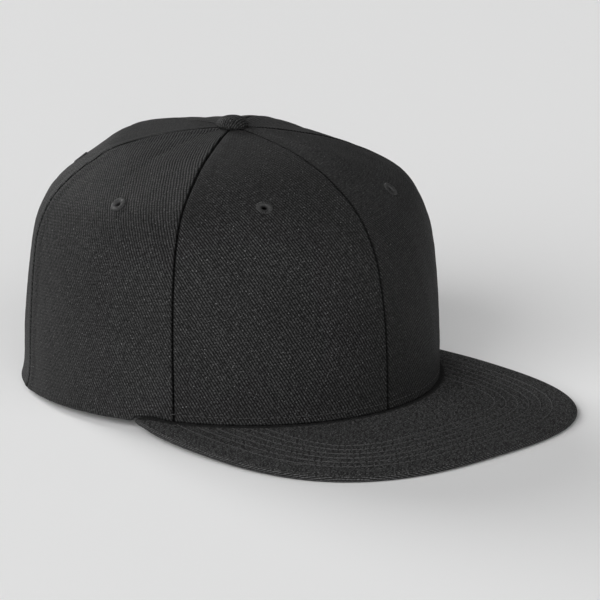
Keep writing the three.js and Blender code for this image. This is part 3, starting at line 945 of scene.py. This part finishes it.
def build_sweatband():
    """A folded band of cloth inside the rim, with a soft swell and rounded edges."""
    angles = np.linspace(-np.pi, np.pi, SWEATBAND_COLUMNS, endpoint=False)
    share = np.linspace(0, 1, SWEATBAND_ROWS + 1)
    outer = []
    inner = []
    edge = edge_height(angles, rim_radius(angles) - CLOTH, -BILL_THICKNESS)
    for t in share:
        height = edge + SWEATBAND_RISE + SWEATBAND_HEIGHT * t
        place = place_at_height(height)
        radius = np.empty(len(angles))
        for i, angle in enumerate(angles):
            seam, across = panel_of(angle)
            point = crown_points(seam, 1, np.array([across]), np.array([place[i]]))[0]
            radius[i] = math.hypot(point[0], point[1])
        radius = radius - CLOTH - SWEATBAND_GAP
        square = math.sqrt(1 - (2 * t - 1) ** SWEATBAND_SQUARENESS)
        rounding = SWEATBAND_THICKNESS / 2 * (1 - square)
        seat = radius - rounding
        face = radius - SWEATBAND_THICKNESS + rounding - SWEATBAND_SWELL * math.sin(math.pi * t)
        outer.append(np.stack([seat * np.cos(angles), seat * np.sin(angles), height], -1))
        inner.append(np.stack([face * np.cos(angles), face * np.sin(angles), height], -1))
    loops = np.stack(inner + outer[::-1], axis=1)
    columns, size = loops.shape[:2]
    faces = lofted_faces(columns, size, closed_run=True, flip=True)
    v = np.concatenate([share, share[::-1] + 1]) * SWEATBAND_HEIGHT
    u = angles * (RIM_FRONT + RIM_SIDE) / 2
    cloth = np.stack(np.broadcast_arrays(u[:, None], v[None, :]), -1)
    return mesh_object("sweatband_cloth", loops, faces, cloth)


# Eyelets

def build_eyelet(panel):
    """An overcast ring: threads that run from outside the hole, over its edge and down into it."""
    paths = []
    for i in range(EYELET_THREADS):
        angle = 2 * math.pi * (i + dice.uniform(-0.12, 0.12)) / EYELET_THREADS
        reach = dice.uniform(-0.12, 0.08)
        path = []
        for order, (radius, height) in enumerate(EYELET_PROFILE):
            radius = radius + (reach if order < 3 else 0)
            lean = angle + EYELET_LEAN * order
            path.append((radius * math.cos(lean), radius * math.sin(lean), height))
        paths.append(path)
    piece = joined_tubes("eyelet_threads_" + panel["name"], paths, EYELET_THREAD_RADIUS)
    back = Matrix.Translation(Vector((-AXIS_X * MM, 0, 0)))
    piece.data.transform(eyelet_seat(panel) @ Matrix.Scale(1 / MM, 4) @ back)
    return piece


# Materials

class Shader:
    """Adds and links the nodes of one material."""

    def __init__(self, name):
        self.material = bpy.data.materials.new(name)
        self.material.use_nodes = True
        self.tree = self.material.node_tree
        self.surface = self.tree.nodes["Principled BSDF"]

    def put(self, value, socket):
        if isinstance(value, bpy.types.NodeSocket):
            self.tree.links.new(value, socket)
        else:
            socket.default_value = value

    def math(self, operation, *values):
        node = self.tree.nodes.new("ShaderNodeMath")
        node.operation = operation
        for value, socket in zip(values, node.inputs):
            self.put(value, socket)
        return node.outputs[0]

    def product(self, one, other):
        return self.math("MULTIPLY", one, other)

    def wave(self, value, length=1.0):
        """A sine that crosses zero at each multiple of the length."""
        return self.math("SINE", self.product(value, math.pi / length))

    def noise(self, vector, scale, detail, roughness=0.5):
        node = self.tree.nodes.new("ShaderNodeTexNoise")
        self.put(vector, node.inputs["Vector"])
        node.inputs["Scale"].default_value = scale
        node.inputs["Detail"].default_value = detail
        node.inputs["Roughness"].default_value = roughness
        return node.outputs["Fac"]

    def between(self, value, low, high, out_low=0.0, out_high=1.0):
        node = self.tree.nodes.new("ShaderNodeMapRange")
        node.interpolation_type = "SMOOTHSTEP"
        names = ("Value", "From Min", "From Max", "To Min", "To Max")
        for name, given in zip(names, (value, low, high, out_low, out_high)):
            self.put(given, node.inputs[name])
        return node.outputs["Result"]

    def mix(self, share, low, high):
        node = self.tree.nodes.new("ShaderNodeMix")
        node.data_type = "RGBA"
        for value, identifier in ((share, "Factor_Float"), (low, "A_Color"), (high, "B_Color")):
            socket = next(s for s in node.inputs if s.identifier == identifier)
            self.put(value, socket)
        return next(s for s in node.outputs if s.identifier == "Result_Color")

    def cloth(self):
        """The cloth coordinates in millimetres: as a vector, across the ribs and along them."""
        coordinates = self.tree.nodes.new("ShaderNodeUVMap")
        coordinates.uv_map = "cloth"
        scaled = self.tree.nodes.new("ShaderNodeVectorMath")
        scaled.operation = "SCALE"
        self.tree.links.new(coordinates.outputs["UV"], scaled.inputs[0])
        scaled.inputs["Scale"].default_value = 1 / MM
        apart = self.tree.nodes.new("ShaderNodeSeparateXYZ")
        self.tree.links.new(scaled.outputs["Vector"], apart.inputs[0])
        return scaled.outputs["Vector"], apart.outputs["X"], apart.outputs["Y"]

    def stretched(self, vector, across, along):
        node = self.tree.nodes.new("ShaderNodeVectorMath")
        node.operation = "MULTIPLY"
        self.put(vector, node.inputs[0])
        node.inputs[1].default_value = (across, along, 1)
        return node.outputs["Vector"]

    def painted_shade(self):
        """Painted shade of the cloth in a seam or a corner, from 0 to 1."""
        node = self.tree.nodes.new("ShaderNodeAttribute")
        node.attribute_name = "painted_shade"
        return node.outputs["Fac"]

    def steepness(self):
        """0 on a level face, 1 on an upright one."""
        geometry = self.tree.nodes.new("ShaderNodeNewGeometry")
        apart = self.tree.nodes.new("ShaderNodeSeparateXYZ")
        self.put(geometry.outputs["Normal"], apart.inputs[0])
        return self.math("SUBTRACT", 1.0, self.math("ABSOLUTE", apart.outputs["Z"]))

    def bump(self, height, distance):
        node = self.tree.nodes.new("ShaderNodeBump")
        self.put(height, node.inputs["Height"])
        node.inputs["Distance"].default_value = distance
        self.put(node.outputs["Normal"], self.surface.inputs["Normal"])

    def finish(self, settings):
        for name, value in settings.items():
            self.put(value, self.surface.inputs[name])
        return self.material


def grey(value):
    return (value, value, value, 1)


def twill_material(name, crest, rib_depth, grain, lint, edge=None):
    """Black twill: slanting ribs of short floats, uneven yarn and stray bright fibres.

    The crest is the grey of a rib's top. The grain is how much brighter and darker than the mean
    the yarn gets, and the lint the share of noise above which a stray fibre shows. The edge holds
    the grain and lint that upright faces get instead, and how much lighter they are, a painted
    highlight on the bill's rounded edge.
    """
    shader = Shader(name)
    lightness_with_painted_highlight = 1 / TONE_MOST
    if edge:
        steep = shader.steepness()
        grain = shader.between(steep, *UPRIGHT, grain, edge["grain"])
        lint = shader.between(steep, *UPRIGHT, lint, edge["lint"])
        # upright faces, the bill's rounded edge, get a painted highlight
        lightness_with_painted_highlight = shader.between(steep, *UPRIGHT, lightness_with_painted_highlight, lightness_with_painted_highlight * edge["lightness_with_painted_highlight"])
    vector, across, along = shader.cloth()
    wander = shader.noise(vector, scale=0.16, detail=3)
    across = shader.math("MULTIPLY_ADD", wander, RIB_WANDER, across)
    rib = shader.math("DIVIDE", across, RIB_PITCH)
    arch = shader.wave(shader.math("FRACT", rib))
    ridge = shader.between(arch, 0.1, 1.0, 0.06, 1.0)
    shift = shader.product(shader.math("FLOOR", rib), FLOAT_SHIFT)
    float_at = shader.math("MULTIPLY_ADD", along, 1 / FLOAT_LENGTH, shift)
    bead = shader.math("ABSOLUTE", shader.wave(float_at))
    height = shader.product(ridge, shader.math("MULTIPLY_ADD", bead, 0.4, 0.6))
    yarn = shader.noise(vector, scale=1.2, detail=3, roughness=0.75)
    tone = shader.product(height, shader.between(yarn, 0.36, 0.64, 0.4, 1.5))
    slub = shader.noise(shader.stretched(vector, 0.35, 1.0), scale=0.8, detail=4, roughness=0.7)
    least = shader.math("SUBTRACT", 1.0, grain)
    most = shader.math("ADD", 1.0, grain)
    tone = shader.product(tone, shader.between(slub, 0.38, 0.62, least, most))
    patch = shader.noise(vector, scale=0.035, detail=2)
    tone = shader.product(tone, shader.between(patch, 0.3, 0.7, 0.92, 1.08))
    woven = shader.mix(shader.product(tone, lightness_with_painted_highlight), grey(0.001), grey(crest * TONE_MOST))
    fibre = shader.noise(vector, scale=1.3, detail=2, roughness=0.6)
    bright = shader.between(fibre, lint, shader.math("ADD", lint, 0.14))
    colour = shader.mix(bright, woven, grey(FIBRE_GREY))
    # painted shade: darker in the seams and in the corner between the crown and the bill
    colour = shader.mix(shader.product(shader.painted_shade(), PAINTED_SHADE_DARK), colour, grey(0.0005))
    shader.bump(shader.math("MULTIPLY_ADD", yarn, 0.5, height), rib_depth * MM)
    return shader.finish(
        {
            "Base Color": colour,
            "Roughness": 0.65,
            "Specular IOR Level": 0.08,
            "Sheen Weight": 0.03,
            "Sheen Roughness": 0.35,
            "Sheen Tint": grey(0.9),
        }
    )


def thread_material(name, dark, bright):
    """Twisted thread, from its grey between the plies to its grey on them."""
    shader = Shader(name)
    _, around, along = shader.cloth()
    twist = shader.math("MULTIPLY_ADD", around, PLY_SLANT, along)
    ply = shader.math("ABSOLUTE", shader.wave(twist, PLY_LENGTH))
    shader.bump(ply, 0.06 * MM)
    colour = shader.mix(ply, grey(dark), grey(bright))
    return shader.finish({"Base Color": colour, "Roughness": 0.4, "Specular IOR Level": 0.3})


def band_material():
    """Plain-woven cloth of the sweatband."""
    shader = Shader("sweatband_cloth")
    vector, across, along = shader.cloth()
    warp = shader.wave(across, BAND_PITCH)
    weft = shader.wave(along, BAND_PITCH)
    weave = shader.math("ABSOLUTE", shader.product(warp, weft))
    fuzz = shader.noise(vector, scale=0.8, detail=3)
    tone = shader.product(weave, shader.between(fuzz, 0.3, 0.7, 0.6, 1.2))
    colour = shader.mix(tone, grey(0.01), grey(0.024))
    shader.bump(weave, 0.12 * MM)
    return shader.finish(
        {"Base Color": colour, "Roughness": 0.92, "Sheen Weight": 0.03, "Sheen Roughness": 0.5}
    )


def floor_material():
    return Shader("studio_floor").finish({"Base Color": grey(FLOOR_GREY), "Roughness": 0.7})


def dressed(piece, material, slot, *nodes):
    """Gives a piece its material and the body that it rides on, and hides the parts it stands for; its
    slot is not used.
    """
    piece.data.materials.clear()
    piece.data.materials.append(material)
    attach(piece, "root")
    if nodes:
        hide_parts(*nodes)


def build_cap():
    twill = twill_material("black_twill", crest=0.03, rib_depth=0.32, grain=0.32, lint=0.62)
    # painted highlight: the bill's upright edge is made lighter where it catches the light
    edge = {"grain": 0.2, "lint": 0.68, "lightness_with_painted_highlight": 1.45}
    bill_twill = twill_material(
        "bill_twill", crest=0.042, rib_depth=0.5, grain=0.85, lint=0.56, edge=edge
    )
    thread = thread_material("crown_thread", dark=0.012, bright=0.045)
    # a lighter copy of the thread, painted highlight for the glints on the bill's stitches and thread
    # ends
    bill_thread_painted_highlight = thread_material("bill_thread_painted_highlight", dark=0.02, bright=0.075)
    for panel in PANELS:
        dressed(build_panel(panel), twill, "twill", panel["name"] + "_panel")
        dressed(build_eyelet(panel), thread, "thread", "eyelet_" + panel["name"])
    dressed(build_bill(), bill_twill, "twill", "bill")
    dressed(build_bill_stitches(), bill_thread_painted_highlight, "thread")
    dressed(build_topstitch(), thread, "thread")
    dressed(build_loose_ends(), bill_thread_painted_highlight, "thread")
    dressed(build_button(), twill, "twill", "top_button")
    dressed(build_sweatband(), band_material(), "sweatband", "sweatband")


# Studio

def soft_light(name, heading, width, strength):
    """A large, distant light."""
    data = bpy.data.lights.new(name, "SUN")
    data.angle = math.radians(width)
    data.energy = strength
    light = bpy.data.objects.new(name, data)
    light.rotation_euler = (-Vector(heading)).to_track_quat("-Z", "Y").to_euler()
    bpy.context.scene.collection.objects.link(light)


def build_floor():
    mesh = bpy.data.meshes.new("studio_floor")
    ring = []
    for i in range(FLOOR_SIDES):
        angle = 2 * math.pi * i / FLOOR_SIDES
        ring.append((FLOOR_RADIUS * MM * math.cos(angle), FLOOR_RADIUS * MM * math.sin(angle), 0))
    mesh.from_pydata(ring, [], [tuple(range(FLOOR_SIDES))])
    floor = bpy.data.objects.new("studio_floor", mesh)
    floor.data.materials.append(floor_material())
    bpy.context.scene.collection.objects.link(floor)


def build_studio():
    build_floor()
    world = bpy.data.worlds.new("studio")
    world.use_nodes = True
    sky = world.node_tree.nodes["Background"]
    sky.inputs["Color"].default_value = grey(1)
    sky.inputs["Strength"].default_value = SKY_STRENGTH
    bpy.context.scene.world = world
    for light in LIGHTS:
        soft_light(**light)
    bpy.context.scene.view_settings.view_transform = "Standard"


def build_camera():
    data = bpy.data.cameras.new("photo_camera")
    data.sensor_width = CAMERA_SENSOR
    data.lens = CAMERA_LENS
    camera = bpy.data.objects.new("photo_camera", data)
    camera.location = (Vector(CAMERA) + Vector((AXIS_X, 0, 0))) * MM
    azimuth = math.radians(CAMERA_AZIMUTH)
    elevation = math.radians(CAMERA_ELEVATION)
    level = math.cos(elevation)
    look = Vector((-level * math.cos(azimuth), level * math.sin(azimuth), -math.sin(elevation)))
    camera.rotation_euler = look.to_track_quat("-Z", "Y").to_euler()
    bpy.context.scene.collection.objects.link(camera)
    bpy.context.scene.camera = camera


build_camera()
build_cap()
build_studio()
